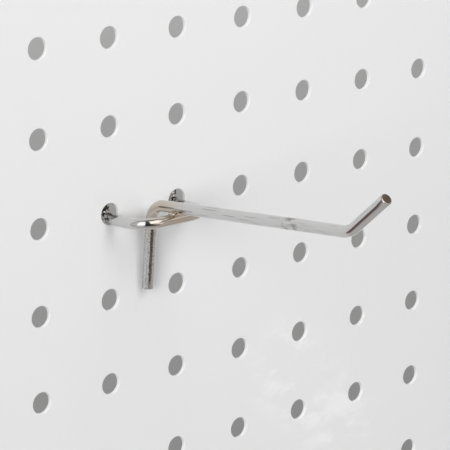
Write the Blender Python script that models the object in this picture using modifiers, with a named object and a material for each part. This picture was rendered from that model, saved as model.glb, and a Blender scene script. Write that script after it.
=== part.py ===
"""Flanged steel pegboard panel with one wire hook and its wall fixings.

Frame: metres, +Z up. The origin is the centre of the panel on the wall plane, +X runs to the
right of someone facing the board, and +Y runs into the wall. The sheet's front looks along -Y.
"""

import math

import bmesh
import bpy
from mathutils import Matrix, Quaternion, Vector

# Driving dimensions: the sheet and its folded edge
HOLE_PITCH = 0.0254
HOLE_RADIUS = 0.003175
HOLES_PER_SIDE = 16
SHEET_THICKNESS = 0.0012
PANEL_DEPTH = 0.01905
LIP_WIDTH = 0.0125
FOLD_RADIUS = 0.002
FOLD_SEGMENTS = 3
LIP_SLIT = 0.001

# Driving dimensions: the hook, with distances outward from the sheet's front face and heights
# from the centre of the row of holes that it hangs in
HOOK_ROW = 9
HOOK_COLUMNS = (3, 4)
PRONG_WIRE_RADIUS = 0.00167
PRONG_RISE = math.radians(5.65)
PRONG_HEIGHT_AT_SHEET = 0.00117
PRONG_REACH = 0.0829
PRONG_OFF_CENTRE = -0.00035
TIP_RISE = math.radians(41.5)
TIP_LENGTH = 0.0174
TIP_BEND_RADIUS = 0.0085
LEG_LEAN = math.radians(4.5)
LEG_DROP = 0.0238
LEG_STANDOFF = 0.00197
KNEE_BEND_RADIUS = 0.006
BACK_WIRE_RADIUS = 0.0016
BACK_WIRE_OFF_CENTRE = 0.0003
BACK_WIRE_HEIGHT_AT_SHEET = -0.00145
BACK_WIRE_REACH = 0.0135
BACK_WIRE_RISE = math.radians(2.0)
BACK_WIRE_CORNER_RADIUS = 0.007
REAR_LEG_LENGTH = 0.010
REAR_LEG_BEND_RADIUS = 0.0026
REAR_LEG_INSET = 0.0031

# Driving dimensions: the wall fixings, which pass through peg holes near the corners
FIXING_HOLES = (1, HOLES_PER_SIDE - 2)
SCREW_RADIUS = 0.0021
SCREW_LENGTH = 0.050
SCREW_POINT_LENGTH = 0.006
SCREW_HEAD_RADIUS = 0.0041
SCREW_HEAD_HEIGHT = 0.003
RECESS_SPAN = 0.0046
RECESS_WIDTH = 0.0011
RECESS_DEPTH = 0.0018
WASHER_RADIUS = 0.008
WASHER_BORE_RADIUS = 0.00265
WASHER_THICKNESS = 0.0012
SPACER_RADIUS = 0.006
SPACER_BORE_RADIUS = 0.0025
PLUG_RADIUS = 0.004
PLUG_BORE_RADIUS = 0.0024
PLUG_LENGTH = 0.038
PLUG_SLOT_WIDTH = 0.001
PLUG_SLOT_LENGTH = 0.026
FIT_GAP = 0.0003

# How finely the round shapes are faceted
PEG_HOLE_SIDES = 8
HOOK_HOLE_SIDES = 16
TURNED_SIDES = 16
WIRE_BEVEL_RESOLUTION = 3
BEND_STEPS = 4
CUT_MARGIN = 0.001

# Sizes and places worked out from the driving dimensions
PANEL_SIDE = HOLES_PER_SIDE * HOLE_PITCH
FRONT_Y = -PANEL_DEPTH
SHEET_BACK_Y = FRONT_Y + SHEET_THICKNESS
WASHER_FRONT_Y = FRONT_Y - FIT_GAP - WASHER_THICKNESS
HEAD_SEAT_Y = WASHER_FRONT_Y - FIT_GAP
SPACER_LENGTH = -SHEET_BACK_Y - FIT_GAP

# Turns a piece's own +Z to the front of the board, along -Y
FACING_FRONT = (math.pi / 2, 0.0, 0.0)


def hole_centre(index):
    """Place of a row or column of holes along its axis, counted from the low side."""
    return (index - (HOLES_PER_SIDE - 1) / 2) * HOLE_PITCH


def equal_area_radius(radius, sides):
    """Corner radius of the regular polygon that has the same area as a circle."""
    return radius * math.sqrt(2 * math.pi / (sides * math.sin(2 * math.pi / sides)))


# --- Scene ---------------------------------------------------------------------------------

def clear_scene():
    for old in list(bpy.data.objects):
        bpy.data.objects.remove(old, do_unlink=True)


def make_collection(name):
    collection = bpy.data.collections.new(name)
    bpy.context.scene.collection.children.link(collection)
    return collection


def make_material(name, colour, roughness, metallic):
    material = bpy.data.materials.new(name)
    material.use_nodes = True
    shader = material.node_tree.nodes["Principled BSDF"]
    shader.inputs["Base Color"].default_value = (*colour, 1.0)
    shader.inputs["Roughness"].default_value = roughness
    shader.inputs["Metallic"].default_value = metallic
    material.diffuse_color = (*colour, 1.0)
    return material


def object_from_bmesh(name, shape, collection):
    mesh = bpy.data.meshes.new(name)
    shape.to_mesh(mesh)
    shape.free()
    made = bpy.data.objects.new(name, mesh)
    collection.objects.link(made)
    return made


def as_cutter(cutter):
    cutter.hide_render = True
    cutter.display_type = "WIRE"
    return cutter


def cut(target, cutter):
    modifier = target.modifiers.new(cutter.name, "BOOLEAN")
    modifier.operation = "DIFFERENCE"
    modifier.solver = "EXACT"
    modifier.object = cutter


def block(shape, size, matrix):
    """Add a box of the given size, centred on the matrix's origin, to a bmesh."""
    scale = Matrix.Diagonal((*size, 1.0))
    bmesh.ops.create_cube(shape, size=1.0, matrix=matrix @ scale)


# --- Perforated panel ----------------------------------------------------------------------

def folded_tray():
    """Outer skin of the folded sheet: front face, four flanges and the rear lips."""
    shape = bmesh.new()
    size = (PANEL_SIDE, PANEL_DEPTH, PANEL_SIDE)
    block(shape, size, Matrix.Translation((0.0, -PANEL_DEPTH / 2, 0.0)))
    rear = max(shape.faces, key=lambda face: face.calc_center_median().y)
    bmesh.ops.inset_region(shape, faces=[rear], thickness=LIP_WIDTH)
    bmesh.ops.delete(shape, geom=[rear], context="FACES_ONLY")
    return shape


def peg_hole_cutter(collection):
    """One prism for each peg hole, finer where the hook's round wire passes through."""
    shape = bmesh.new()
    across = Matrix.Rotation(math.pi / 2, 4, "X")
    depth = SHEET_THICKNESS + 2 * CUT_MARGIN
    for column in range(HOLES_PER_SIDE):
        for row in range(HOLES_PER_SIDE):
            holds_hook = row == HOOK_ROW and column in HOOK_COLUMNS
            sides = HOOK_HOLE_SIDES if holds_hook else PEG_HOLE_SIDES
            radius = equal_area_radius(HOLE_RADIUS, sides)
            centre = (hole_centre(column), FRONT_Y + SHEET_THICKNESS / 2, hole_centre(row))
            bmesh.ops.create_cone(shape, cap_ends=True, segments=sides, radius1=radius,
                                  radius2=radius, depth=depth,
                                  matrix=Matrix.Translation(centre) @ across)
    return as_cutter(object_from_bmesh("peg_hole_cutter", shape, collection))


def lip_slit_cutter(collection):
    """Four narrow blocks that part the rear lips along their mitred corners."""
    shape = bmesh.new()
    inner = PANEL_SIDE / 2 - LIP_WIDTH - CUT_MARGIN
    outer = PANEL_SIDE / 2 - FOLD_RADIUS
    length = (outer - inner) * math.sqrt(2)
    size = (length, SHEET_THICKNESS + 2 * CUT_MARGIN, LIP_SLIT)
    middle = (inner + outer) / 2
    for corner in range(4):
        place = Matrix.Translation((middle, -SHEET_THICKNESS / 2, middle))
        diagonal = Matrix.Rotation(-math.pi / 4, 4, "Y")
        quarter_turn = Matrix.Rotation(corner * math.pi / 2, 4, "Y")
        block(shape, size, quarter_turn @ place @ diagonal)
    return as_cutter(object_from_bmesh("lip_slit_cutter", shape, collection))


def perforated_panel(parts, cutters, material):
    panel = object_from_bmesh("perforated_panel", folded_tray(), parts)
    panel.data.materials.append(material)
    folds = panel.modifiers.new("folds", "BEVEL")
    folds.width = FOLD_RADIUS
    folds.segments = FOLD_SEGMENTS
    folds.limit_method = "ANGLE"
    sheet = panel.modifiers.new("sheet", "SOLIDIFY")
    sheet.thickness = SHEET_THICKNESS
    sheet.offset = -1.0
    sheet.use_even_offset = True
    cut(panel, peg_hole_cutter(cutters))
    cut(panel, lip_slit_cutter(cutters))
    return panel


# --- Wire hook -----------------------------------------------------------------------------

def rounded_path(corners, radii):
    """Points along straight runs whose inner corners are replaced by arcs."""
    points = [corners[0]]
    for before, corner, after, radius in zip(corners, corners[1:], corners[2:], radii):
        back = (before - corner).normalized()
        ahead = (after - corner).normalized()
        half_angle = back.angle(ahead) / 2
        centre = corner + (back + ahead).normalized() * radius / math.sin(half_angle)
        start = corner + back * radius / math.tan(half_angle) - centre
        end = corner + ahead * radius / math.tan(half_angle) - centre
        turn = start.rotation_difference(end)
        for step in range(BEND_STEPS + 1):
            part_turn = Quaternion(turn.axis, turn.angle * step / BEND_STEPS)
            points.append(centre + part_turn @ start)
    points.append(corners[-1])
    return points


def hook_point(side, outward, height):
    """A point by its offset from the middle of the hook's holes and its distance outward."""
    middle = sum(hole_centre(column) for column in HOOK_COLUMNS) / len(HOOK_COLUMNS)
    return Vector((middle + side, FRONT_Y - outward, hole_centre(HOOK_ROW) + height))


def wire_curve(name, points, radius, collection, material):
    curve = bpy.data.curves.new(name, "CURVE")
    curve.dimensions = "3D"
    curve.bevel_depth = radius
    curve.bevel_resolution = WIRE_BEVEL_RESOLUTION
    curve.use_fill_caps = True
    spline = curve.splines.new("POLY")
    spline.points.add(len(points) - 1)
    for target, point in zip(spline.points, points):
        target.co = (*point, 1.0)
    curve.materials.append(material)
    wire = bpy.data.objects.new(name, curve)
    collection.objects.link(wire)
    return wire


def hook_prong(parts, material):
    """Leg against the sheet, rising prong and upturned tip, in one bent wire."""
    lean = math.tan(LEG_LEAN)
    rise = math.tan(PRONG_RISE)
    knee_run = LEG_STANDOFF + lean * (PRONG_HEIGHT_AT_SHEET + LEG_DROP)
    knee_out = knee_run / (1 - lean * rise)
    tip_height = PRONG_HEIGHT_AT_SHEET + rise * PRONG_REACH
    side = PRONG_OFF_CENTRE
    corners = [
        hook_point(side, LEG_STANDOFF, -LEG_DROP),
        hook_point(side, knee_out, PRONG_HEIGHT_AT_SHEET + rise * knee_out),
        hook_point(side, PRONG_REACH, tip_height),
        hook_point(side, PRONG_REACH + TIP_LENGTH * math.cos(TIP_RISE),
                   tip_height + TIP_LENGTH * math.sin(TIP_RISE)),
    ]
    points = rounded_path(corners, (KNEE_BEND_RADIUS, TIP_BEND_RADIUS))
    return wire_curve("hook_prong", points, PRONG_WIRE_RADIUS, parts, material)


def hook_back_wire(parts, material):
    """U of thinner wire: under the prong, back through two holes and up behind the sheet."""
    rise = math.tan(BACK_WIRE_RISE)
    rear_height = BACK_WIRE_HEIGHT_AT_SHEET - rise * REAR_LEG_INSET
    front_height = BACK_WIRE_HEIGHT_AT_SHEET + rise * BACK_WIRE_REACH
    rear_top = rear_height + REAR_LEG_BEND_RADIUS + REAR_LEG_LENGTH
    half_span = HOLE_PITCH / 2
    left = BACK_WIRE_OFF_CENTRE - half_span
    right = BACK_WIRE_OFF_CENTRE + half_span
    corners = [
        hook_point(left, -REAR_LEG_INSET, rear_top),
        hook_point(left, -REAR_LEG_INSET, rear_height),
        hook_point(left, BACK_WIRE_REACH, front_height),
        hook_point(right, BACK_WIRE_REACH, front_height),
        hook_point(right, -REAR_LEG_INSET, rear_height),
        hook_point(right, -REAR_LEG_INSET, rear_top),
    ]
    radii = (REAR_LEG_BEND_RADIUS, BACK_WIRE_CORNER_RADIUS,
             BACK_WIRE_CORNER_RADIUS, REAR_LEG_BEND_RADIUS)
    points = rounded_path(corners, radii)
    return wire_curve("hook_back_wire", points, BACK_WIRE_RADIUS, parts, material)


def tilting_hook(parts, material):
    """Both wires hang on an empty at the axis that the hook tilts about, the rear bends' centre."""
    pivot = bpy.data.objects.new("hook_pivot", None)
    parts.objects.link(pivot)
    inset = REAR_LEG_INSET - REAR_LEG_BEND_RADIUS
    pivot.location = hook_point(0.0, -inset, BACK_WIRE_HEIGHT_AT_SHEET + REAR_LEG_BEND_RADIUS)
    bpy.context.view_layer.update()
    for wire in (hook_prong(parts, material), hook_back_wire(parts, material)):
        wire.parent = pivot
        wire.matrix_parent_inverse = pivot.matrix_world.inverted()


# --- Wall fixings --------------------------------------------------------------------------

def turned(name, profile, closed, collection, material):
    """Solid of revolution about its own Z from radius and height pairs, outer side downward."""
    mesh = bpy.data.meshes.new(name)
    count = len(profile)
    edges = [(i, i + 1) for i in range(count - 1)]
    if closed:
        edges.append((count - 1, 0))
    mesh.from_pydata([(radius, 0.0, height) for radius, height in profile], edges, [])
    mesh.materials.append(material)
    made = bpy.data.objects.new(name, mesh)
    collection.objects.link(made)
    spin = made.modifiers.new("turn", "SCREW")
    spin.axis = "Z"
    spin.steps = TURNED_SIDES
    spin.render_steps = TURNED_SIDES
    spin.use_merge_vertices = True
    spin.merge_threshold = 0.00001
    return made


def ring(name, radius, bore_radius, length, collection, material):
    """Tube from its own Z = 0 up to its length."""
    profile = [(radius, length), (radius, 0.0), (bore_radius, 0.0), (bore_radius, length)]
    return turned(name, profile, True, collection, material)


def cross_cutter(name, span, width, depth, collection):
    """Plus-shaped prism, joined from two crossing blocks, standing on its own Z = 0."""
    shape = bmesh.new()
    block(shape, (span, width, depth), Matrix.Translation((0.0, 0.0, depth / 2)))
    cross = as_cutter(object_from_bmesh(name, shape, collection))
    other = bmesh.new()
    block(other, (width, span, depth), Matrix.Translation((0.0, 0.0, depth / 2)))
    arm = as_cutter(object_from_bmesh(name + "_arm", other, collection))
    arm.parent = cross
    union = cross.modifiers.new("arm", "BOOLEAN")
    union.operation = "UNION"
    union.solver = "EXACT"
    union.object = arm
    return cross


def wall_screw(name, x, z, parts, cutters, material):
    """Pan-head wood screw with a cross recess; its own Z = 0 is the underside of the head."""
    head = [
        (0.0, SCREW_HEAD_HEIGHT),
        (SCREW_HEAD_RADIUS * 0.62, SCREW_HEAD_HEIGHT * 0.93),
        (SCREW_HEAD_RADIUS * 0.92, SCREW_HEAD_HEIGHT * 0.62),
        (SCREW_HEAD_RADIUS, SCREW_HEAD_HEIGHT * 0.25),
        (SCREW_HEAD_RADIUS, 0.0),
    ]
    shank = [
        (SCREW_RADIUS, 0.0),
        (SCREW_RADIUS, SCREW_POINT_LENGTH - SCREW_LENGTH),
        (0.0, -SCREW_LENGTH),
    ]
    screw = turned(name, head + shank, False, parts, material)
    place = (x, HEAD_SEAT_Y, z)
    screw.location = place
    screw.rotation_euler = FACING_FRONT
    recess = cross_cutter(name + "_recess", RECESS_SPAN, RECESS_WIDTH,
                          RECESS_DEPTH + CUT_MARGIN, cutters)
    recess.location = (x, HEAD_SEAT_Y - SCREW_HEAD_HEIGHT + RECESS_DEPTH, z)
    recess.rotation_euler = FACING_FRONT
    cut(screw, recess)


def wall_plug(name, x, z, parts, cutters, material):
    """Nylon plug in the wall, split by two crossing slots that open at its far end."""
    plug = ring(name, PLUG_RADIUS, PLUG_BORE_RADIUS, PLUG_LENGTH, parts, material)
    plug.location = (x, FIT_GAP + PLUG_LENGTH, z)
    plug.rotation_euler = FACING_FRONT
    slots = cross_cutter(name + "_slots", 2 * (PLUG_RADIUS + CUT_MARGIN), PLUG_SLOT_WIDTH,
                         PLUG_SLOT_LENGTH + CUT_MARGIN, cutters)
    slots.location = (x, FIT_GAP + PLUG_LENGTH + CUT_MARGIN, z)
    slots.rotation_euler = FACING_FRONT
    cut(plug, slots)


def wall_fixing(label, x, z, parts, cutters, materials):
    """Screw, washer, spacer and plug on one axis through a peg hole."""
    wall_screw("wall_screw_" + label, x, z, parts, cutters, materials["zinc_steel"])
    washer = ring("washer_" + label, WASHER_RADIUS, WASHER_BORE_RADIUS, WASHER_THICKNESS,
                  parts, materials["zinc_steel"])
    washer.location = (x, WASHER_FRONT_Y + WASHER_THICKNESS, z)
    washer.rotation_euler = FACING_FRONT
    spacer = ring("spacer_" + label, SPACER_RADIUS, SPACER_BORE_RADIUS, SPACER_LENGTH,
                  parts, materials["spacer_nylon"])
    spacer.location = (x, 0.0, z)
    spacer.rotation_euler = FACING_FRONT
    wall_plug("wall_plug_" + label, x, z, parts, cutters, materials["plug_nylon"])


def build():
    clear_scene()
    parts = make_collection("pegboard_tool_wall")
    cutters = make_collection("cutters")
    materials = {
        "powder_coat": make_material("powder_coat", (0.82, 0.82, 0.81), 0.45, 0.0),
        "chrome_wire": make_material("chrome_wire", (0.78, 0.78, 0.79), 0.08, 1.0),
        "zinc_steel": make_material("zinc_steel", (0.62, 0.64, 0.66), 0.3, 1.0),
        "spacer_nylon": make_material("spacer_nylon", (0.80, 0.79, 0.75), 0.5, 0.0),
        "plug_nylon": make_material("plug_nylon", (0.42, 0.43, 0.44), 0.55, 0.0),
    }
    perforated_panel(parts, cutters, materials["powder_coat"])
    tilting_hook(parts, materials["chrome_wire"])
    for column, side in zip(FIXING_HOLES, ("left", "right")):
        for row, level in zip(FIXING_HOLES, ("bottom", "top")):
            wall_fixing(level + "_" + side, hole_centre(column), hole_centre(row),
                        parts, cutters, materials)


build()
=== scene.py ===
"""Looks of the flanged steel pegboard panel, its wire hook and its wall fixings."""

import math

import bmesh
import bpy
from mathutils import Matrix, Quaternion, Vector


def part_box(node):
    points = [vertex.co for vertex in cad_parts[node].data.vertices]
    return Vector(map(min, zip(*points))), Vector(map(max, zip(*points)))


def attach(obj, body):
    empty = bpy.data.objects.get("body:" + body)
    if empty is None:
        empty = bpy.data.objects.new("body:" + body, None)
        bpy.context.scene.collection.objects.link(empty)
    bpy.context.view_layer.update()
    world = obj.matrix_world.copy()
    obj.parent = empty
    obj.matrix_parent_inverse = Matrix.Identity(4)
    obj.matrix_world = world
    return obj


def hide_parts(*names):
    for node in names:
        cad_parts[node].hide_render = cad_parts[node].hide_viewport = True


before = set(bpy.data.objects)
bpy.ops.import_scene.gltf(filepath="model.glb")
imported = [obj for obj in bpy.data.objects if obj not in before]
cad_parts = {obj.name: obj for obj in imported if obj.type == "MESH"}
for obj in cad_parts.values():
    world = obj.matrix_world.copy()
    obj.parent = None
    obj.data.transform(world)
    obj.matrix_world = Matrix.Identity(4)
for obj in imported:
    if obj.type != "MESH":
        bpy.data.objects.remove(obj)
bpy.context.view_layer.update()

# --- Places and sizes, in metres -----------------------------------------------------------

PANEL_LOW, PANEL_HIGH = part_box("perforated_panel")
HALF_SIDE = PANEL_HIGH.x
FRONT_Y = PANEL_LOW.y
SHEET_THICKNESS = 0.0012
HOLE_PITCH = 0.0254
HOLE_RADIUS = 0.003175
HOLES_PER_SIDE = round(2 * HALF_SIDE / HOLE_PITCH)
FOLD_RADIUS = 0.002
LIP_WIDTH = 0.0125
LIP_END_GAP = 0.0007
CUT_EDGE_ROUNDING = 0.00022

# The hook: side offsets from the middle of its two holes, distances outward from the sheet's
# front face and heights from the centre of its row of holes
HOOK_ROW = 9
HOOK_COLUMNS = (3, 4)
PRONG_WIRE_RADIUS = 0.00167
PRONG_RISE = math.radians(5.65)
PRONG_HEIGHT_AT_SHEET = 0.00117
PRONG_REACH = 0.0829
PRONG_OFF_CENTRE = -0.00035
TIP_RISE = math.radians(41.5)
TIP_LENGTH = 0.0174
TIP_BEND_RADIUS = 0.0085
LEG_LEAN = math.radians(4.5)
LEG_DROP = 0.0238
LEG_STANDOFF = 0.00197
KNEE_BEND_RADIUS = 0.006
BACK_WIRE_RADIUS = 0.0016
BACK_WIRE_OFF_CENTRE = 0.0003
BACK_WIRE_HEIGHT_AT_SHEET = -0.00145
BACK_WIRE_REACH = 0.0135
BACK_WIRE_RISE = math.radians(2.0)
BACK_WIRE_CORNER_RADIUS = 0.007
REAR_LEG_LENGTH = 0.010
REAR_LEG_BEND_RADIUS = 0.0026
REAR_LEG_INSET = 0.0031
WELD_RADII = (0.0017, 0.0017, 0.00085)

# Marks on the hook, as distances outward and heights like its own. The hole marks (painted
# shade as dark specks, over real wear in the bump), pits and heat have the place where they
# start and the one where they are full; the painted reflection of the peg holes on the prong
# has its two ends.
HOLE_SHADE_AND_WEAR_OUTWARD = (0.0026, 0.0004)
LEG_PITS_HEIGHT = (-0.0020, -0.0045)
HEAT_OUTWARD = BACK_WIRE_REACH - 0.003
HEAT_HEIGHT = -0.002
HEAT_RADIUS = (0.0125, 0.004)
# The painted reflection of the peg holes on the prong runs between these distances outward
HOLE_REFLECTION_OUTWARD = (0.0605, 0.0630)
HOLE_REFLECTION_FADE = 0.0025

# The rubbed band on the coat, from low to high in X + Z across it and in X - Z along it
RUB_ACROSS = (-0.073, -0.061)
RUB_ACROSS_FADE = 0.021
RUB_ALONG = (-0.022, 0.042)
RUB_ALONG_FADE = 0.030

# The fixings, which pass through peg holes near the corners
FIXING_HOLES = (1, HOLES_PER_SIDE - 2)
SCREW_RADIUS = 0.0021
SCREW_ROOT_RADIUS = 0.0015
SCREW_LENGTH = 0.050
SCREW_POINT_LENGTH = 0.006
SMOOTH_SHANK = 0.008
SHANK_CLEARANCE = 0.0002
THREAD_PITCH = 0.0018
SCREW_HEAD_RADIUS = 0.0041
SCREW_HEAD_HEIGHT = 0.003
SCREW_HEAD_CHAMFER = 0.0002
SCREW_EDGE_ROUNDING = 0.00008
RECESS_SPAN = 0.0046
RECESS_WIDTH = 0.0011
RECESS_DEPTH = 0.0018
WASHER_RADIUS = 0.008
WASHER_BORE_RADIUS = 0.00265
WASHER_THICKNESS = 0.0012
WASHER_EDGE_ROUNDING = 0.00025
SPACER_RADIUS = 0.006
SPACER_BORE_RADIUS = 0.0025
SPACER_EDGE_ROUNDING = 0.0004
PLUG_RADIUS = 0.004
PLUG_BORE_RADIUS = 0.0024
PLUG_LENGTH = 0.038
PLUG_COLLAR_LENGTH = 0.0012
PLUG_COLLAR_SLOPE = 0.0004
PLUG_MOUTH_CHAMFER = 0.0004
PLUG_SLOT_WIDTH = 0.001
PLUG_SLOT_LENGTH = 0.026
PLUG_TEETH = 6
PLUG_TOOTH_PITCH = 0.0042
PLUG_TOOTH_DEPTH = 0.0005
PLUG_TOOTH_RISE = 0.0002
PLUG_TOOTH_CREST = 0.0004
PLUG_TOOTH_FALL = 0.0016
PLUG_FIRST_TOOTH = 0.009
PLUG_END_TAPER = 0.002
FIT_GAP = 0.0003
WASHER_FRONT_Y = FRONT_Y - FIT_GAP - WASHER_THICKNESS
HEAD_SEAT_Y = WASHER_FRONT_Y - FIT_GAP
SPACER_LENGTH = -FRONT_Y - SHEET_THICKNESS - FIT_GAP


def hole_centre(index):
    """Place of a row or column of holes along its axis, counted from the low side."""
    return (index - (HOLES_PER_SIDE - 1) / 2) * HOLE_PITCH


def hook_point(side, outward, height):
    """A point by its offset from the middle of the hook's holes and its distance outward."""
    middle = sum(hole_centre(column) for column in HOOK_COLUMNS) / len(HOOK_COLUMNS)
    return Vector((middle + side, FRONT_Y - outward, hole_centre(HOOK_ROW) + height))


def direction_to(azimuth, elevation):
    """Unit vector toward a viewpoint, in degrees; azimuth 0 is straight in front."""
    turn, lift = math.radians(azimuth), math.radians(elevation)
    return Vector((math.sin(turn) * math.cos(lift), -math.cos(turn) * math.cos(lift),
                   math.sin(lift)))


# --- Camera --------------------------------------------------------------------------------

VIEW_AZIMUTH = -42.725
VIEW_ELEVATION = 14.976
VIEW_ROLL = math.radians(0.396)
VIEW_DISTANCE = 0.70238
LENS_MM = 195.63
SENSOR_MM = 36.0
NEAREST_SEEN = 0.05
AIM = hook_point(0.01627, 0.01674, -0.00491)


def add_camera():
    data = bpy.data.cameras.new("camera")
    data.lens = LENS_MM
    data.sensor_width = SENSOR_MM
    data.clip_start = NEAREST_SEEN
    camera = bpy.data.objects.new("camera", data)
    bpy.context.scene.collection.objects.link(camera)
    back = direction_to(VIEW_AZIMUTH, VIEW_ELEVATION)
    camera.location = AIM + back * VIEW_DISTANCE
    level = back.to_track_quat("Z", "Y")
    camera.rotation_mode = "QUATERNION"
    camera.rotation_quaternion = level @ Quaternion((0.0, 0.0, 1.0), VIEW_ROLL)
    bpy.context.scene.camera = camera


# --- Node helpers --------------------------------------------------------------------------

# A Mix node's sockets for colours, which share their names with its sockets for numbers
MIX_FACTOR, MIX_FIRST, MIX_SECOND, MIX_RESULT = 0, 6, 7, 2


class Nodes:
    """Short calls that add nodes to a tree. A value is an output, a number, a Vector, or a
    colour, which is a tuple."""

    def __init__(self, tree):
        self.tree = tree

    def feed(self, target, value):
        """Link an output to a node's input, or set the input to any other value."""
        if isinstance(value, bpy.types.NodeSocket):
            self.tree.links.new(value, target)
        elif isinstance(value, tuple):
            target.default_value = (*value, 1.0)
        else:
            target.default_value = value

    def node(self, kind, **inputs):
        made = self.tree.nodes.new(kind)
        for name, value in inputs.items():
            made.inputs[name.replace("_", " ")].default_value = value
        return made

    def axis(self, vector, name):
        """One coordinate of a vector."""
        parts = self.node("ShaderNodeSeparateXYZ")
        self.feed(parts.inputs["Vector"], vector)
        return parts.outputs[name]

    def math(self, operation, first, second=0.0):
        made = self.node("ShaderNodeMath")
        made.operation = operation
        self.feed(made.inputs[0], first)
        self.feed(made.inputs[1], second)
        return made.outputs["Value"]

    def multiply(self, first, second):
        return self.math("MULTIPLY", first, second)

    def add(self, first, second):
        return self.math("ADD", first, second)

    def ramp(self, value, start, end):
        """0 at start and 1 at end, smooth between them and held outside them."""
        made = self.node("ShaderNodeMapRange", From_Min=start, From_Max=end)
        made.interpolation_type = "SMOOTHSTEP"
        self.feed(made.inputs["Value"], value)
        return made.outputs["Result"]

    def window(self, value, low, high, fade):
        """1 from low to high, fading to 0 on both sides."""
        return self.multiply(self.ramp(value, low - fade, low),
                             self.ramp(value, high + fade, high))

    def mix(self, factor, first, second):
        """Blend from the first colour to the second by a factor."""
        made = self.node("ShaderNodeMix")
        made.data_type = "RGBA"
        self.feed(made.inputs[MIX_FACTOR], factor)
        self.feed(made.inputs[MIX_FIRST], first)
        self.feed(made.inputs[MIX_SECOND], second)
        return made.outputs[MIX_RESULT]

    def colours(self, value, low, high, stops):
        """A colour that runs through stops, each a place between low and high and a colour."""
        share = self.node("ShaderNodeMapRange", From_Min=low, From_Max=high)
        self.feed(share.inputs["Value"], value)
        made = self.node("ShaderNodeValToRGB")
        self.feed(made.inputs["Fac"], share.outputs["Result"])
        elements = made.color_ramp.elements
        for element, (place, colour) in zip(elements, (stops[0], stops[-1])):
            element.position = (place - low) / (high - low)
            element.color = (*colour, 1.0)
        for place, colour in stops[1:-1]:
            elements.new((place - low) / (high - low)).color = (*colour, 1.0)
        return made.outputs["Color"]


class Shader(Nodes):
    """A Principled material."""

    def __init__(self, name, metallic=0.0):
        self.material = bpy.data.materials.new(name)
        self.material.use_nodes = True
        super().__init__(self.material.node_tree)
        self.surface = self.tree.nodes["Principled BSDF"].inputs
        self.to("Metallic", metallic)

    def to(self, socket, value):
        self.feed(self.surface[socket], value)

    def coordinates(self, kind, scale=(1.0, 1.0, 1.0)):
        source = self.node("ShaderNodeTexCoord")
        mapping = self.node("ShaderNodeMapping", Scale=scale)
        self.feed(mapping.inputs["Vector"], source.outputs[kind])
        return mapping.outputs["Vector"]

    def noise(self, vector, scale, detail=2.0, roughness=0.5):
        made = self.node("ShaderNodeTexNoise", Scale=scale, Detail=detail, Roughness=roughness)
        self.feed(made.inputs["Vector"], vector)
        return made.outputs["Fac"]

    def distance(self, vector, point):
        made = self.node("ShaderNodeVectorMath")
        made.operation = "DISTANCE"
        self.feed(made.inputs[0], vector)
        self.feed(made.inputs[1], point)
        return made.outputs["Value"]

    def between(self, factor, low, high):
        """Map a 0 to 1 factor onto a range."""
        made = self.node("ShaderNodeMapRange", To_Min=low, To_Max=high)
        self.feed(made.inputs["Value"], factor)
        return made.outputs["Result"]

    def bump(self, height, distance, strength=1.0, under=None):
        """A normal that follows a height, added to the one under it."""
        made = self.node("ShaderNodeBump", Distance=distance)
        self.feed(made.inputs["Height"], height)
        self.feed(made.inputs["Strength"], strength)
        if under is not None:
            self.feed(made.inputs["Normal"], under)
        return made.outputs["Normal"]


# --- Materials -----------------------------------------------------------------------------

# Colours in pairs are the two ends of a material's natural variation
COAT_WHITES = ((0.843, 0.843, 0.848), (0.833, 0.833, 0.838))
COAT_RUBBED = (0.91, 0.91, 0.915)
PLATE = (0.625, 0.622, 0.62)
PLATE_HEATED = (0.59, 0.53, 0.465)
# Painted reflection: a darker plate colour for the dark peg holes mirrored in the prong
PLATE_HOLE_REFLECTION = (0.33, 0.325, 0.32)
# Brown of the leg's pits; the same brown is painted shade in the specks on the wire inside its
# holes
PIT_AND_HOLE_SHADE_BROWN = (0.05, 0.045, 0.04)
CUT_STEEL = ((0.065, 0.048, 0.036), (0.25, 0.20, 0.16))
ZINC = ((0.46, 0.47, 0.49), (0.72, 0.72, 0.71))
NATURAL_NYLON = ((0.74, 0.73, 0.69), (0.82, 0.81, 0.78))
GREY_NYLON = ((0.38, 0.39, 0.40), (0.45, 0.46, 0.47))

# How far red, green and blue light travels in nylon, in metres
NYLON_SCATTER = Vector((0.0012, 0.0010, 0.0008))


def powder_coat():
    """White powder coat: a satin skin of fine orange peel, faintly mottled and rubbed."""
    shader = Shader("powder_coat")
    place = shader.coordinates("Object")
    plain = shader.mix(shader.noise(place, scale=22.0), *COAT_WHITES)
    x, z = shader.axis(place, "X"), shader.axis(place, "Z")
    band = shader.multiply(
        shader.window(shader.add(x, z), *RUB_ACROSS, RUB_ACROSS_FADE),
        shader.window(shader.math("SUBTRACT", x, z), *RUB_ALONG, RUB_ALONG_FADE))
    streaks = shader.noise(shader.coordinates("Object", (1.0, 1.0, 1.8)),
                           scale=70.0, detail=6.0, roughness=0.65)
    rubbed = shader.multiply(band, shader.ramp(streaks, start=0.44, end=0.62))
    shader.to("Base Color", shader.mix(rubbed, plain, COAT_RUBBED))

    peel = shader.noise(place, scale=800.0)
    grain = shader.noise(place, scale=3000.0, detail=1.0)
    shader.to("Roughness", shader.between(peel, low=0.38, high=0.46))
    coarse = shader.bump(peel, distance=0.000012)
    shader.to("Normal", shader.bump(grain, distance=0.000004, under=coarse))
    return shader.material


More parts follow.
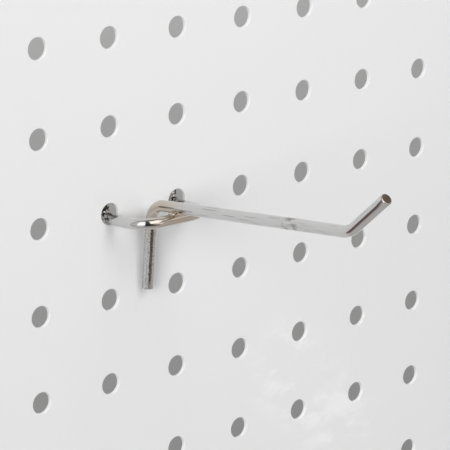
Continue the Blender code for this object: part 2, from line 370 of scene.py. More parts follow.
def chrome_wire():
    """Bright plate over drawn wire: pitted on the leg, heat-tinted, roughened in the holes with
    painted shade as dark specks there, and a painted reflection of the peg holes as a darker,
    rougher band on the prong.
    """
    shader = Shader("chrome_wire", metallic=1.0)
    place = shader.coordinates("Object")
    y, z = shader.axis(place, "Y"), shader.axis(place, "Z")
    # Painted shade: the wire inside its holes gets dark brown specks for the hole's shadow; the
    # bump there is real wear
    in_hole = shader.ramp(y, *(FRONT_Y - outward for outward in HOLE_SHADE_AND_WEAR_OUTWARD))
    on_leg = shader.ramp(z, *(hole_centre(HOOK_ROW) + height for height in LEG_PITS_HEIGHT))

    weld = hook_point(PRONG_OFF_CENTRE, HEAT_OUTWARD, HEAT_HEIGHT)
    heat = shader.ramp(shader.distance(place, weld), *HEAT_RADIUS)
    # Painted reflection of the peg holes: a darker, rougher, patchy band along the prong
    reflection_near, reflection_far = HOLE_REFLECTION_OUTWARD
    band = shader.window(y, FRONT_Y - reflection_far, FRONT_Y - reflection_near, HOLE_REFLECTION_FADE)
    reflection_patches = shader.noise(place, scale=380.0, detail=1.0)
    painted_reflection = shader.multiply(band, shader.ramp(reflection_patches, start=0.42, end=0.62))
    tinted = shader.mix(heat, PLATE, PLATE_HEATED)
    with_hole_reflection = shader.mix(painted_reflection, tinted, PLATE_HOLE_REFLECTION)

    leg_pits = shader.noise(place, scale=2500.0, roughness=0.6)
    hole_shade_and_pits = shader.noise(place, scale=1150.0, detail=1.0)
    # Dark specks: real pits on the leg, and painted shade on the wire inside its holes
    pits_and_hole_shade = shader.add(
        shader.multiply(on_leg, shader.ramp(leg_pits, start=0.58, end=0.68)),
        shader.multiply(in_hole, shader.ramp(hole_shade_and_pits, start=0.50, end=0.56)))
    shader.to("Base Color", shader.mix(pits_and_hole_shade, with_hole_reflection, PIT_AND_HOLE_SHADE_BROWN))
    smears = shader.noise(place, scale=420.0)
    shader.to("Roughness", shader.add(shader.between(smears, low=0.03, high=0.08),
                                      shader.between(painted_reflection, low=0.0, high=0.22)))

    waves = shader.bump(shader.noise(place, scale=120.0, detail=1.0), distance=0.000015)
    drawing_lines = shader.noise(shader.coordinates("UV", (110.0, 46.0, 1.0)),
                                 scale=1.0, detail=3.0, roughness=0.6)
    drawn = shader.bump(drawing_lines, distance=0.00005, under=waves,
                        strength=shader.between(on_leg, low=0.03, high=0.8))
    pitted = shader.bump(leg_pits, distance=0.0001, under=drawn,
                         strength=shader.between(on_leg, low=0.004, high=0.6))
    worn = shader.bump(hole_shade_and_pits, distance=0.0006, under=pitted,
                       strength=shader.between(in_hole, low=0.0, high=0.7))
    shader.to("Normal", worn)
    return shader.material


def cut_steel():
    """Sheared wire end: bare steel, brown with light rust, with the shear's faint ridges."""
    shader = Shader("cut_steel", metallic=1.0)
    shader.to("Roughness", 0.45)
    blotches = shader.noise(shader.coordinates("Object"), scale=1500.0, detail=4.0)
    shader.to("Base Color", shader.mix(blotches, *CUT_STEEL))
    ridges = shader.noise(shader.coordinates("Object", (1.0, 1.0, 8.0)), scale=900.0)
    shader.to("Normal", shader.bump(ridges, distance=0.00003))
    return shader.material


def zinc_steel():
    """Bright zinc plate: patchy grey-blue grain with lathe marks."""
    shader = Shader("zinc_steel", metallic=1.0)
    place = shader.coordinates("Object")
    grain = shader.noise(place, scale=1100.0, detail=4.0, roughness=0.65)
    shader.to("Base Color", shader.mix(grain, *ZINC))
    shader.to("Roughness", shader.between(grain, low=0.22, high=0.42))
    lathe_marks = shader.noise(shader.coordinates("Object", (1.0, 12.0, 1.0)),
                               scale=700.0, detail=1.0)
    fine = shader.bump(grain, distance=0.000006)
    shader.to("Normal", shader.bump(lathe_marks, distance=0.000004, under=fine))
    return shader.material


def moulded_nylon(name, colours, roughness):
    """Moulded nylon: cloudy colour, waxy skin and a fine spark-eroded texture."""
    shader = Shader(name)
    shader.to("Subsurface Weight", 0.15)
    shader.to("Subsurface Radius", NYLON_SCATTER)
    shader.to("Subsurface Scale", 1.0)
    place = shader.coordinates("Object")
    shader.to("Base Color", shader.mix(shader.noise(place, scale=240.0, detail=3.0), *colours))
    skin = shader.noise(place, scale=2600.0)
    shader.to("Roughness", shader.between(skin, low=roughness - 0.07, high=roughness + 0.09))
    shader.to("Normal", shader.bump(skin, distance=0.000012))
    return shader.material


# --- Mesh helpers --------------------------------------------------------------------------

def bridge(shape, ring, after):
    """Faces from one closed ring of vertices to the next; one of them may be a single vertex."""
    count = max(len(ring), len(after))
    faces = []
    for index in range(count):
        across = (index + 1) % count
        corners = (ring[index % len(ring)], ring[across % len(ring)],
                   after[across % len(after)], after[index % len(after)])
        faces.append(shape.faces.new(list(dict.fromkeys(corners))))
    return faces


def turned_ring(shape, radii, y):
    """Ring of vertices about the Y axis, one for each radius."""
    ring = []
    for side, radius in enumerate(radii):
        turn = 2 * math.pi * side / len(radii)
        ring.append(shape.verts.new((radius * math.cos(turn), y, radius * math.sin(turn))))
    return ring


def object_from(name, shape, materials):
    mesh = bpy.data.meshes.new(name)
    shape.to_mesh(mesh)
    shape.free()
    for material in materials:
        mesh.materials.append(material)
    made = bpy.data.objects.new(name, mesh)
    bpy.context.scene.collection.objects.link(made)
    return made


def applied(piece):
    """Turn the modifiers of a piece into its mesh."""
    graph = bpy.context.evaluated_depsgraph_get()
    mesh = bpy.data.meshes.new_from_object(piece.evaluated_get(graph))
    piece.modifiers.clear()
    piece.data = mesh


def round_edges(piece, width, sharper_than):
    """Add a modifier that rounds the edges whose angle, in degrees, is larger."""
    rims = piece.modifiers.new("rims", "BEVEL")
    rims.width = width
    rims.segments = 2
    rims.limit_method = "ANGLE"
    rims.angle_limit = math.radians(sharper_than)


def shade(mesh, sharper_than):
    """Shade smooth, but for the edges whose angle, in degrees, is larger."""
    mesh.shade_smooth()
    mesh.set_sharp_from_angle(angle=math.radians(sharper_than))


# --- Perforated panel ----------------------------------------------------------------------

HOLE_SIDES = 32
BORDER_STEPS = HOLE_SIDES // 4
FOLD_STEPS = 6
CORNER_STEPS = 4
FLANGE_STEPS = 6
LAST_LINE = HOLES_PER_SIDE * BORDER_STEPS
FLAT_HALF = HALF_SIDE - FOLD_RADIUS
MERGE_DISTANCE = 0.00001
SHORTEST_EDGE = 0.000001


def cell_border(column, row):
    """Lattice places round one cell, counter-clockwise seen from the front, from its right."""
    half = BORDER_STEPS // 2
    edge = [(half, step - half) for step in range(BORDER_STEPS)]
    turns = []
    for _ in range(4):
        turns += edge
        edge = [(-up, across) for across, up in edge]
    turns = turns[half:] + turns[:half]
    middle_x = column * BORDER_STEPS + half
    middle_z = row * BORDER_STEPS + half
    return [(middle_x + across, middle_z + up) for across, up in turns]


def lattice_place(index):
    """Coordinate of a lattice line, held inside the folds at the two ends."""
    place = index * HOLE_PITCH / BORDER_STEPS - HALF_SIDE
    return max(-FLAT_HALF, min(FLAT_HALF, place))


def perforated_face(shape):
    """Front skin of the sheet, one ring of faces round each hole."""
    lattice = {}

    def corner(key):
        if key not in lattice:
            place = (lattice_place(key[0]), FRONT_Y, lattice_place(key[1]))
            lattice[key] = shape.verts.new(place)
        return lattice[key]

    for column in range(HOLES_PER_SIDE):
        for row in range(HOLES_PER_SIDE):
            border = [corner(key) for key in cell_border(column, row)]
            rim = []
            for side in range(HOLE_SIDES):
                turn = 2 * math.pi * side / HOLE_SIDES
                x = hole_centre(column) + HOLE_RADIUS * math.cos(turn)
                z = hole_centre(row) + HOLE_RADIUS * math.sin(turn)
                rim.append(shape.verts.new((x, FRONT_Y, z)))
            bridge(shape, rim, border)


def edge_profile():
    """Inset from the panel's outer edge and Y of each line along the folded edge."""
    turns = [math.pi / 2 * step / FOLD_STEPS for step in range(1, FOLD_STEPS + 1)]
    straight = -FRONT_Y - 2 * FOLD_RADIUS
    front_fold = [(FOLD_RADIUS * (1 - math.sin(turn)),
                   FRONT_Y + FOLD_RADIUS * (1 - math.cos(turn))) for turn in turns]
    flange = [(0.0, FRONT_Y + FOLD_RADIUS + straight * step / FLANGE_STEPS)
              for step in range(1, FLANGE_STEPS + 1)]
    rear_fold = [(FOLD_RADIUS * (1 - math.cos(turn)), -FOLD_RADIUS * (1 - math.sin(turn)))
                 for turn in turns]
    return front_fold + flange + rear_fold


def quarter_turns():
    """The turns about Y that take the bottom edge of the panel to each of its four edges."""
    return [Matrix.Rotation(-side * math.pi / 2, 4, "Y") for side in range(4)]


def edge_loop(inset, y):
    """Places on one line round the panel: four straight runs and four rounded corners."""
    corner_radius = FOLD_RADIUS - inset
    places = []
    for turn in quarter_turns():
        for index in range(LAST_LINE + 1):
            places.append(turn @ Vector((lattice_place(index), y, -(HALF_SIDE - inset))))
        for step in range(1, CORNER_STEPS):
            angle = math.pi / 2 * step / CORNER_STEPS
            x = FLAT_HALF + corner_radius * math.sin(angle)
            z = -FLAT_HALF - corner_radius * math.cos(angle)
            places.append(turn @ Vector((x, y, z)))
    return places


def folded_edges(shape):
    """Front folds, flanges and rear folds, each line joined to the one before."""
    before = [shape.verts.new(place) for place in edge_loop(FOLD_RADIUS, FRONT_Y)]
    for inset, y in edge_profile():
        line = [shape.verts.new(place) for place in edge_loop(inset, y)]
        bridge(shape, before, line)
        before = line


def rear_lips(shape):
    """Four lips on the wall plane, parted by slits along the mitred corners."""
    inner_half = HALF_SIDE - LIP_WIDTH
    inner_end = inner_half - LIP_END_GAP
    for turn in quarter_turns():
        outer, inner = [], []
        for index in range(1, LAST_LINE):
            place = lattice_place(index)
            held = max(-inner_end, min(inner_end, place))
            outer.append(shape.verts.new(turn @ Vector((place, 0.0, -FLAT_HALF))))
            inner.append(shape.verts.new(turn @ Vector((held, 0.0, -inner_half))))
        for corners in zip(outer, outer[1:], inner[1:], inner):
            shape.faces.new(corners)


def fine_panel(material):
    shape = bmesh.new()
    perforated_face(shape)
    folded_edges(shape)
    rear_lips(shape)
    bmesh.ops.remove_doubles(shape, verts=shape.verts, dist=MERGE_DISTANCE)
    bmesh.ops.dissolve_degenerate(shape, edges=shape.edges, dist=SHORTEST_EDGE)
    bmesh.ops.recalc_face_normals(shape, faces=shape.faces)
    front = min(shape.faces, key=lambda face: face.calc_center_median().y)
    if front.normal.y > 0:
        bmesh.ops.reverse_faces(shape, faces=shape.faces)
    panel = object_from("panel_skin", shape, [material])
    panel.data.shade_smooth()
    sheet = panel.modifiers.new("sheet", "SOLIDIFY")
    sheet.thickness = SHEET_THICKNESS
    sheet.offset = -1.0
    sheet.use_even_offset = True
    round_edges(panel, CUT_EDGE_ROUNDING, sharper_than=50.0)
    flats = panel.modifiers.new("flats", "WEIGHTED_NORMAL")
    flats.weight = 100
    applied(panel)
    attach(panel, "board")
    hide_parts("perforated_panel")


# --- Wire hook -----------------------------------------------------------------------------

WIRE_SIDES = 40
WELD_SIDES = 32
WELD_RINGS = 16
BEND_STEP = math.radians(3.0)
RUN_STEP = 0.003
END_ROUNDING = 0.0003
END_STEPS = 3


def rounded_path(corners, radii):
    """Closely spaced points along straight runs joined by arcs."""
    path = [corners[0]]
    for before, corner, after, radius in zip(corners, corners[1:], corners[2:], radii):
        back = (before - corner).normalized()
        ahead = (after - corner).normalized()
        half_angle = back.angle(ahead) / 2
        centre = corner + (back + ahead).normalized() * radius / math.sin(half_angle)
        start = corner + back * radius / math.tan(half_angle) - centre
        end = corner + ahead * radius / math.tan(half_angle) - centre
        turn = start.rotation_difference(end)
        steps = math.ceil(turn.angle / BEND_STEP)
        for step in range(steps + 1):
            path.append(centre + Quaternion(turn.axis, turn.angle * step / steps) @ start)
    path.append(corners[-1])
    fine = [path[0]]
    for before, point in zip(path, path[1:]):
        pieces = max(1, math.ceil((point - before).length / RUN_STEP))
        for piece in range(1, pieces + 1):
            fine.append(before.lerp(point, piece / pieces))
    return fine


def wire_mesh(name, path, radius, chrome, end_metal):
    """Round wire swept along a path, with rounded, cut ends and lengthwise UVs."""
    shape = bmesh.new()
    uv = shape.loops.layers.uv.new("UVMap")
    last = len(path) - 1
    directions = []
    for index in range(len(path)):
        run = path[min(index + 1, last)] - path[max(index - 1, 0)]
        directions.append(run.normalized())
    side = directions[0].orthogonal().normalized()
    rings, lengths = [], []
    travelled = 0.0

    def add_ring(point, direction, size):
        up = direction.cross(side)
        ring = []
        for step in range(WIRE_SIDES):
            turn = 2 * math.pi * step / WIRE_SIDES
            offset = side * math.cos(turn) + up * math.sin(turn)
            ring.append(shape.verts.new(point + offset * size))
        rings.append(ring)
        lengths.append(travelled)

    for index, (point, direction) in enumerate(zip(path, directions)):
        side = (side - direction * side.dot(direction)).normalized()
        if index:
            travelled += (point - path[index - 1]).length
        if index in (0, last):
            inward = direction if index == 0 else -direction
            steps = range(END_STEPS + 1) if index == 0 else range(END_STEPS, -1, -1)
            for step in steps:
                turn = math.pi / 2 * step / END_STEPS
                add_ring(point + inward * END_ROUNDING * (1 - math.cos(turn)), direction,
                         radius - END_ROUNDING * (1 - math.sin(turn)))
        else:
            add_ring(point, direction, radius)
    for ring, after, start, end in zip(rings, rings[1:], lengths, lengths[1:]):
        for step, face in enumerate(bridge(shape, ring, after)):
            turns = (step, step + 1, step + 1, step)
            for loop, length, turn in zip(face.loops, (start, start, end, end), turns):
                loop[uv].uv = (length, turn / WIRE_SIDES)
    for ring in (list(reversed(rings[0])), rings[-1]):
        cap = shape.faces.new(ring)
        cap.material_index = 1
    bmesh.ops.recalc_face_normals(shape, faces=shape.faces)
    wire = object_from(name, shape, [chrome, end_metal])
    shade(wire.data, sharper_than=30.0)
    return wire


def fine_prong(chrome, end_metal):
    lean = math.tan(LEG_LEAN)
    rise = math.tan(PRONG_RISE)
    knee_run = LEG_STANDOFF + lean * (PRONG_HEIGHT_AT_SHEET + LEG_DROP)
    knee_out = knee_run / (1 - lean * rise)
    tip_height = PRONG_HEIGHT_AT_SHEET + rise * PRONG_REACH
    side = PRONG_OFF_CENTRE
    corners = [
        hook_point(side, LEG_STANDOFF, -LEG_DROP),
        hook_point(side, knee_out, PRONG_HEIGHT_AT_SHEET + rise * knee_out),
        hook_point(side, PRONG_REACH, tip_height),
        hook_point(side, PRONG_REACH + TIP_LENGTH * math.cos(TIP_RISE),
                   tip_height + TIP_LENGTH * math.sin(TIP_RISE)),
    ]
    path = rounded_path(corners, (KNEE_BEND_RADIUS, TIP_BEND_RADIUS))
    wire = wire_mesh("prong_wire", path, PRONG_WIRE_RADIUS, chrome, end_metal)
    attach(wire, "hook")
    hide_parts("hook_prong")


def fine_back_wire(chrome, end_metal):
    rise = math.tan(BACK_WIRE_RISE)
    rear_height = BACK_WIRE_HEIGHT_AT_SHEET - rise * REAR_LEG_INSET
    front_height = BACK_WIRE_HEIGHT_AT_SHEET + rise * BACK_WIRE_REACH
    rear_top = rear_height + REAR_LEG_BEND_RADIUS + REAR_LEG_LENGTH
    half_span = HOLE_PITCH / 2
    left = BACK_WIRE_OFF_CENTRE - half_span
    right = BACK_WIRE_OFF_CENTRE + half_span
    corners = [
        hook_point(left, -REAR_LEG_INSET, rear_top),
        hook_point(left, -REAR_LEG_INSET, rear_height),
        hook_point(left, BACK_WIRE_REACH, front_height),
        hook_point(right, BACK_WIRE_REACH, front_height),
        hook_point(right, -REAR_LEG_INSET, rear_height),
        hook_point(right, -REAR_LEG_INSET, rear_top),
    ]
    radii = (REAR_LEG_BEND_RADIUS, BACK_WIRE_CORNER_RADIUS,
             BACK_WIRE_CORNER_RADIUS, REAR_LEG_BEND_RADIUS)
    path = rounded_path(corners, radii)
    wire = wire_mesh("back_wire", path, BACK_WIRE_RADIUS, chrome, end_metal)
    add_weld(wire)
    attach(wire, "hook")
    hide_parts("hook_back_wire")


def add_weld(wire):
    """Flattened bead that fills the crossing of the two wires, plated with them."""
    bar_height = BACK_WIRE_HEIGHT_AT_SHEET + math.tan(BACK_WIRE_RISE) * BACK_WIRE_REACH
    prong_height = PRONG_HEIGHT_AT_SHEET + math.tan(PRONG_RISE) * BACK_WIRE_REACH
    contact = (bar_height + BACK_WIRE_RADIUS + prong_height - PRONG_WIRE_RADIUS) / 2
    place = Matrix.Translation(hook_point(PRONG_OFF_CENTRE, BACK_WIRE_REACH, contact))
    shape = bmesh.new()
    shape.from_mesh(wire.data)
    bmesh.ops.create_uvsphere(shape, u_segments=WELD_SIDES, v_segments=WELD_RINGS, radius=1.0,
                              matrix=place @ Matrix.Diagonal((*WELD_RADII, 1.0)))
    shape.to_mesh(wire.data)
    shape.free()
    shade(wire.data, sharper_than=40.0)


# --- Wall fixings --------------------------------------------------------------------------

TURNED_SIDES = 48
HEAD_STEPS = 7
HEAD_DOME_SHARE = 0.8
HEAD_SQUARENESS = 0.62
RECESS_FLOOR_SCALE = 0.5
THREAD_SIDES = 24
THREAD_RINGS_PER_TURN = 8
THREAD_RIDGE_HALF_WIDTH = 0.28
CUTTER_MARGIN = 0.001


def lathe(profile, closed=True):
    """Surface of revolution about the Y axis from radius and Y pairs; a radius of 0 closes it."""
    shape = bmesh.new()
    rings = []
    for radius, y in profile:
        sides = TURNED_SIDES if radius else 1
        rings.append(turned_ring(shape, [radius] * sides, y))
    for ring, after in zip(rings, rings[1:]):
        bridge(shape, ring, after)
    if closed:
        bridge(shape, rings[-1], rings[0])
    bmesh.ops.recalc_face_normals(shape, faces=shape.faces)
    return shape


def rounded_tube(radius, bore, front, back, rounding):
    """Closed profile of a tube with rounded outer and broken inner edges."""
    slope = rounding * (1 - math.sqrt(0.5))
    outer = [
        (radius - rounding, back), (radius - slope, back - slope), (radius, back - rounding),
        (radius, front + rounding), (radius - slope, front + slope), (radius - rounding, front),
    ]
    inner = [
        (bore + rounding / 2, front), (bore, front + rounding / 2),
        (bore, back - rounding / 2), (bore + rounding / 2, back),
    ]
    return outer + inner


def cross_prism(span, width, y_wide, y_narrow, narrow_scale):
    """Plus-shaped cutter whose outline shrinks from one end to the other."""
    arm, half = span / 2, width / 2
    quarter = [(arm, -half), (arm, half), (half, half)]
    outline = []
    for turn in range(4):
        spin = Matrix.Rotation(turn * math.pi / 2, 2)
        outline += [spin @ Vector(point) for point in quarter]
    shape = bmesh.new()
    ends = []
    for y, scale in ((y_wide, 1.0), (y_narrow, narrow_scale)):
        ends.append([shape.verts.new((p.x * scale, y, p.y * scale)) for p in outline])
    bridge(shape, *ends)
    for end in ends:
        shape.faces.new(end)
    bmesh.ops.recalc_face_normals(shape, faces=shape.faces)
    return shape


def cut_by(piece, cutter_shape):
    """Subtract a closed shape from a piece."""
    cutter = object_from("cutter", cutter_shape, [])
    step = piece.modifiers.new("cut", "BOOLEAN")
    step.solver = "EXACT"
    step.operation = "DIFFERENCE"
    step.object = cutter
    applied(piece)
    bpy.data.objects.remove(cutter, do_unlink=True)


def add_threaded_shank(shape):
    """Helical wood-screw thread with a tapering point, closed at both ends."""
    start = HEAD_SEAT_Y + SMOOTH_SHANK
    end = HEAD_SEAT_Y + SCREW_LENGTH
    ring_step = THREAD_PITCH / THREAD_RINGS_PER_TURN
    ring_count = round((end - start) / ring_step)
    smooth = [SCREW_ROOT_RADIUS] * THREAD_SIDES
    rings = [turned_ring(shape, smooth, HEAD_SEAT_Y + SHANK_CLEARANCE),
             turned_ring(shape, smooth, start)]
    for index in range(1, ring_count):
        y = start + index * ring_step
        taper = min(1.0, (end - y) / SCREW_POINT_LENGTH)
        run_in = min(1.0, (y - start) / THREAD_PITCH)
        radii = []
        for side in range(THREAD_SIDES):
            phase = (index / THREAD_RINGS_PER_TURN - side / THREAD_SIDES) % 1.0
            ridge = max(0.0, 1 - abs(phase - 0.5) / THREAD_RIDGE_HALF_WIDTH) * run_in
            height = (SCREW_RADIUS - SCREW_ROOT_RADIUS) * ridge
            radii.append((SCREW_ROOT_RADIUS + height) * taper)
        rings.append(turned_ring(shape, radii, y))
    rings.append(turned_ring(shape, [0.0], end))
    faces = [shape.faces.new(rings[0])]
    for ring, after in zip(rings, rings[1:]):
        faces += bridge(shape, ring, after)
    bmesh.ops.recalc_face_normals(shape, faces=faces)


def screw_mesh(zinc):
    """Pan head with a tapered cross recess over a threaded shank."""
    top = HEAD_SEAT_Y - SCREW_HEAD_HEIGHT
    profile = [(0.0, top)]
    for step in range(1, HEAD_STEPS + 1):
        turn = math.pi / 2 * step / HEAD_STEPS
        profile.append((SCREW_HEAD_RADIUS * math.sin(turn) ** HEAD_SQUARENESS,
                        top + SCREW_HEAD_HEIGHT * HEAD_DOME_SHARE * (1 - math.cos(turn))))
    profile += [(SCREW_HEAD_RADIUS, HEAD_SEAT_Y - SCREW_HEAD_CHAMFER),
                (SCREW_HEAD_RADIUS - SCREW_HEAD_CHAMFER, HEAD_SEAT_Y), (0.0, HEAD_SEAT_Y)]
    screw = object_from("screw", lathe(profile, closed=False), [zinc])
    cut_by(screw, cross_prism(RECESS_SPAN, RECESS_WIDTH, top - CUTTER_MARGIN / 2,
                              top + RECESS_DEPTH, RECESS_FLOOR_SCALE))
    round_edges(screw, SCREW_EDGE_ROUNDING, sharper_than=40.0)
    applied(screw)
    shape = bmesh.new()
    shape.from_mesh(screw.data)
    add_threaded_shank(shape)
    shape.to_mesh(screw.data)
    shape.free()
    return screw


def plug_mesh(nylon):
    """Split wall plug: a thin collar, saw-toothed ribs and two crossing slots."""
    front, back = FIT_GAP, FIT_GAP + PLUG_LENGTH
    core = PLUG_RADIUS - PLUG_TOOTH_DEPTH
    collar_end = front + PLUG_COLLAR_LENGTH
    outer = [(PLUG_RADIUS, front), (PLUG_RADIUS, collar_end),
             (core, collar_end + PLUG_COLLAR_SLOPE)]
    for tooth in range(PLUG_TEETH):
        foot = front + PLUG_FIRST_TOOTH + tooth * PLUG_TOOTH_PITCH
        crest = foot + PLUG_TOOTH_RISE
        crest_end = crest + PLUG_TOOTH_CREST
        outer += [(core, foot), (PLUG_RADIUS, crest), (PLUG_RADIUS, crest_end),
                  (core, crest_end + PLUG_TOOTH_FALL)]
    outer += [(core, back - PLUG_END_TAPER), (core - PLUG_TOOTH_DEPTH, back)]
    inner = [(PLUG_BORE_RADIUS, back), (PLUG_BORE_RADIUS, front + PLUG_MOUTH_CHAMFER),
             (PLUG_BORE_RADIUS + PLUG_MOUTH_CHAMFER, front)]
    plug = object_from("plug", lathe(outer + inner), [nylon])
    cut_by(plug, cross_prism(2 * PLUG_RADIUS + CUTTER_MARGIN, PLUG_SLOT_WIDTH,
                             back + CUTTER_MARGIN, back - PLUG_SLOT_LENGTH, 1.0))
    return plug


def fine_fixings(zinc, spacer_nylon, plug_nylon):
    """Screw, washer, spacer and plug at each corner, each a copy of one master mesh."""
    washer_profile = rounded_tube(WASHER_RADIUS, WASHER_BORE_RADIUS, WASHER_FRONT_Y,
                                  WASHER_FRONT_Y + WASHER_THICKNESS, WASHER_EDGE_ROUNDING)
    spacer_profile = rounded_tube(SPACER_RADIUS, SPACER_BORE_RADIUS, -SPACER_LENGTH, 0.0,
                                  SPACER_EDGE_ROUNDING)
    masters = (
        ("wall_screw", screw_mesh(zinc), "zinc_steel"),
        ("washer", object_from("washer", lathe(washer_profile), [zinc]), "zinc_steel"),
        ("spacer", object_from("spacer", lathe(spacer_profile), [spacer_nylon]), "spacer_nylon"),
        ("wall_plug", plug_mesh(plug_nylon), "plug_nylon"),
    )
    for name, master, slot_name in masters:
        for column, side in zip(FIXING_HOLES, ("left", "right")):
            for row, level in zip(FIXING_HOLES, ("bottom", "top")):
                node = f"{name}_{level}_{side}"
                mesh = master.data.copy()
                mesh.transform(Matrix.Translation((hole_centre(column), 0.0, hole_centre(row))))
                shade(mesh, sharper_than=35.0)
                piece = bpy.data.objects.new("fine_" + node, mesh)
                bpy.context.scene.collection.objects.link(piece)
                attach(piece, "board")
                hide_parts(node)
        bpy.data.objects.remove(master, do_unlink=True)


# --- Floor and light -----------------------------------------------------------------------

FLOOR_SIDE = 12.0
FLOOR_GAP = 0.001
FLOOR_GREY = (0.36, 0.36, 0.36)
FLOOR_ROUGHNESS = 0.7
PLAIN_LIGHT = (0.31, 0.31, 0.31)

# What mirrors see, from the lowest directions to the highest: rings of colours by azimuth in
# degrees, between one colour straight below and one straight above
MIRROR_GROUND = (0.56, 0.54, 0.53)
MIRROR_LOW = (
    (-180.0, (0.50, 0.50, 0.50)),
    (-142.0, (0.50, 0.48, 0.475)),
    (-123.0, (0.15, 0.105, 0.095)),
    (-117.0, (0.15, 0.105, 0.095)),
    (-94.0, (0.58, 0.57, 0.56)),
    (-56.0, (0.64, 0.64, 0.64)),
    (-38.0, (0.36, 0.34, 0.32)),
    (0.0, (0.40, 0.37, 0.34)),
    (28.0, (0.56, 0.53, 0.50)),
    (100.0, (0.50, 0.47, 0.45)),
    (180.0, (0.50, 0.50, 0.50)),
)
MIRROR_SHADE = (
    (-180.0, (0.40, 0.39, 0.38)),
    (-142.0, (0.45, 0.44, 0.43)),
    (-123.0, (0.15, 0.105, 0.095)),
    (-117.0, (0.15, 0.105, 0.095)),
    (-97.0, (0.45, 0.44, 0.42)),
    (-74.0, (0.48, 0.47, 0.46)),
    (-66.0, (0.72, 0.72, 0.72)),
    (-44.0, (0.72, 0.72, 0.72)),
    (-38.0, (0.03, 0.026, 0.022)),
    (16.0, (0.03, 0.026, 0.022)),
    (28.0, (0.62, 0.60, 0.58)),
    (100.0, (0.50, 0.47, 0.45)),
    (180.0, (0.40, 0.39, 0.38)),
)
MIRROR_LEVEL = (
    (-180.0, (0.40, 0.39, 0.38)),
    (-104.0, (0.40, 0.38, 0.36)),
    (-90.0, (0.62, 0.62, 0.62)),
    (-70.0, (0.75, 0.75, 0.75)),
    (-66.0, (1.60, 1.60, 1.60)),
    (-41.0, (1.60, 1.60, 1.60)),
    (-37.0, (0.03, 0.026, 0.022)),
    (-12.0, (0.06, 0.05, 0.04)),
    (2.0, (0.60, 0.56, 0.52)),
    (14.0, (1.10, 1.06, 1.00)),
    (30.0, (1.10, 1.06, 1.00)),
    (40.0, (0.45, 0.42, 0.39)),
    (180.0, (0.40, 0.39, 0.38)),
)
MIRROR_HIGH = (
    (-180.0, (0.40, 0.39, 0.38)),
    (-70.0, (0.60, 0.60, 0.60)),
    (-66.0, (1.50, 1.50, 1.50)),
    (-41.0, (1.50, 1.50, 1.50)),
    (-36.0, (0.08, 0.07, 0.06)),
    (-21.0, (0.08, 0.07, 0.06)),
    (-15.0, (1.70, 1.60, 1.48)),
    (38.0, (1.70, 1.60, 1.48)),
    (47.0, (0.60, 0.56, 0.52)),
    (180.0, (0.40, 0.39, 0.38)),
)
MIRROR_CEILING = (0.22, 0.205, 0.19)

# Each ring, and the heights between which it takes over from the one below it, as the Z of a
# direction of length 1
MIRROR_RINGS = (
    (MIRROR_LOW, -0.88, -0.70),
    (MIRROR_SHADE, -0.50, -0.43),
    (MIRROR_LEVEL, -0.24, -0.12),
    (MIRROR_HIGH, 0.14, 0.34),
)
CEILING_HEIGHTS = (0.86, 0.94)


def add_floor():
    place = (0.0, 0.0, PANEL_LOW.z - FLOOR_GAP)
    bpy.ops.mesh.primitive_plane_add(size=FLOOR_SIDE, location=place)
    floor = bpy.context.object
    floor.name = "floor"
    shader = Shader("floor")
    shader.to("Base Color", FLOOR_GREY)
    shader.to("Roughness", FLOOR_ROUGHNESS)
    floor.data.materials.append(shader.material)
    floor.visible_glossy = False


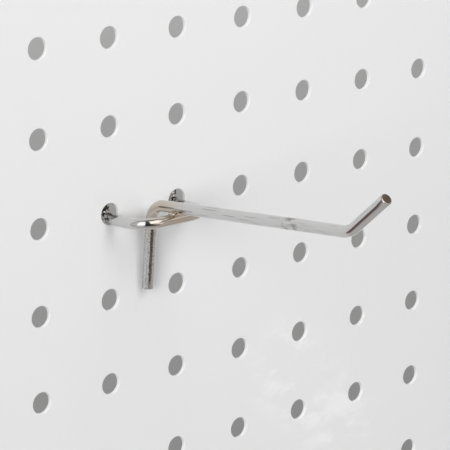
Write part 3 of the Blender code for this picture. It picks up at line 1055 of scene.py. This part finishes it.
def add_world():
    """Even light for the matt surfaces; mirrors see a studio of bright and dark stretches."""
    world = bpy.data.worlds.new("surroundings")
    bpy.context.scene.world = world
    world.use_nodes = True
    world.node_tree.nodes.clear()
    nodes = Nodes(world.node_tree)

    direction = nodes.node("ShaderNodeTexCoord").outputs["Generated"]
    toward_front = nodes.multiply(nodes.axis(direction, "Y"), -1.0)
    azimuth = nodes.math("ARCTAN2", nodes.axis(direction, "X"), toward_front)
    degrees = nodes.math("DEGREES", azimuth)
    height = nodes.axis(direction, "Z")
    seen = MIRROR_GROUND
    for stops, start, end in MIRROR_RINGS:
        ring = nodes.colours(degrees, -180.0, 180.0, stops)
        seen = nodes.mix(nodes.ramp(height, start, end), seen, ring)
    seen = nodes.mix(nodes.ramp(height, *CEILING_HEIGHTS), seen, MIRROR_CEILING)

    path = nodes.node("ShaderNodeLightPath")
    choose = nodes.node("ShaderNodeMixShader")
    nodes.feed(choose.inputs["Fac"], path.outputs["Is Glossy Ray"])
    for target, colour in zip(choose.inputs[1:], (PLAIN_LIGHT, seen)):
        background = nodes.node("ShaderNodeBackground")
        nodes.feed(background.inputs["Color"], colour)
        nodes.feed(target, background.outputs["Background"])
    output = nodes.node("ShaderNodeOutputWorld")
    nodes.feed(output.inputs["Surface"], choose.outputs["Shader"])


def add_area_light(name, aim, azimuth, elevation, distance, size, power, spread):
    """Soft box aimed at a point from a direction given as the camera's is."""
    data = bpy.data.lights.new(name, "AREA")
    data.shape = "RECTANGLE"
    data.size, data.size_y = size
    data.energy = power
    data.spread = math.radians(spread)
    light = bpy.data.objects.new(name, data)
    bpy.context.scene.collection.objects.link(light)
    back = direction_to(azimuth, elevation)
    light.location = aim + back * distance
    light.rotation_mode = "QUATERNION"
    light.rotation_quaternion = back.to_track_quat("Z", "Y")
    light.visible_camera = False
    light.visible_glossy = False


def add_lights():
    """Soft boxes; the narrower spread of two of them leaves no bright pool on the floor."""
    right_of_hook = AIM + Vector((0.36, 0.0, 0.05))
    floor_behind = Vector((0.7, 1.3, PANEL_LOW.z))
    add_area_light("key", right_of_hook, azimuth=-64.0, elevation=13.0, distance=2.6,
                   size=(1.0, 1.4), power=5.8, spread=60.0)
    add_area_light("overhead", AIM, azimuth=2.0, elevation=42.0, distance=0.7,
                   size=(0.36, 0.4), power=1.75, spread=180.0)
    add_area_light("front", AIM, azimuth=16.0, elevation=8.0, distance=2.0,
                   size=(0.9, 0.8), power=0.55, spread=60.0)
    add_area_light("behind", floor_behind, azimuth=160.0, elevation=60.0, distance=1.6,
                   size=(1.2, 1.2), power=25.0, spread=180.0)


# --- Build ---------------------------------------------------------------------------------

bpy.context.scene.view_settings.view_transform = "Standard"
add_camera()
chrome = chrome_wire()
end_metal = cut_steel()
fine_panel(powder_coat())
fine_prong(chrome, end_metal)
fine_back_wire(chrome, end_metal)
fine_fixings(zinc_steel(),
             moulded_nylon("spacer_nylon", NATURAL_NYLON, roughness=0.45),
             moulded_nylon("plug_nylon", GREY_NYLON, roughness=0.5))
add_floor()
add_world()
add_lights()
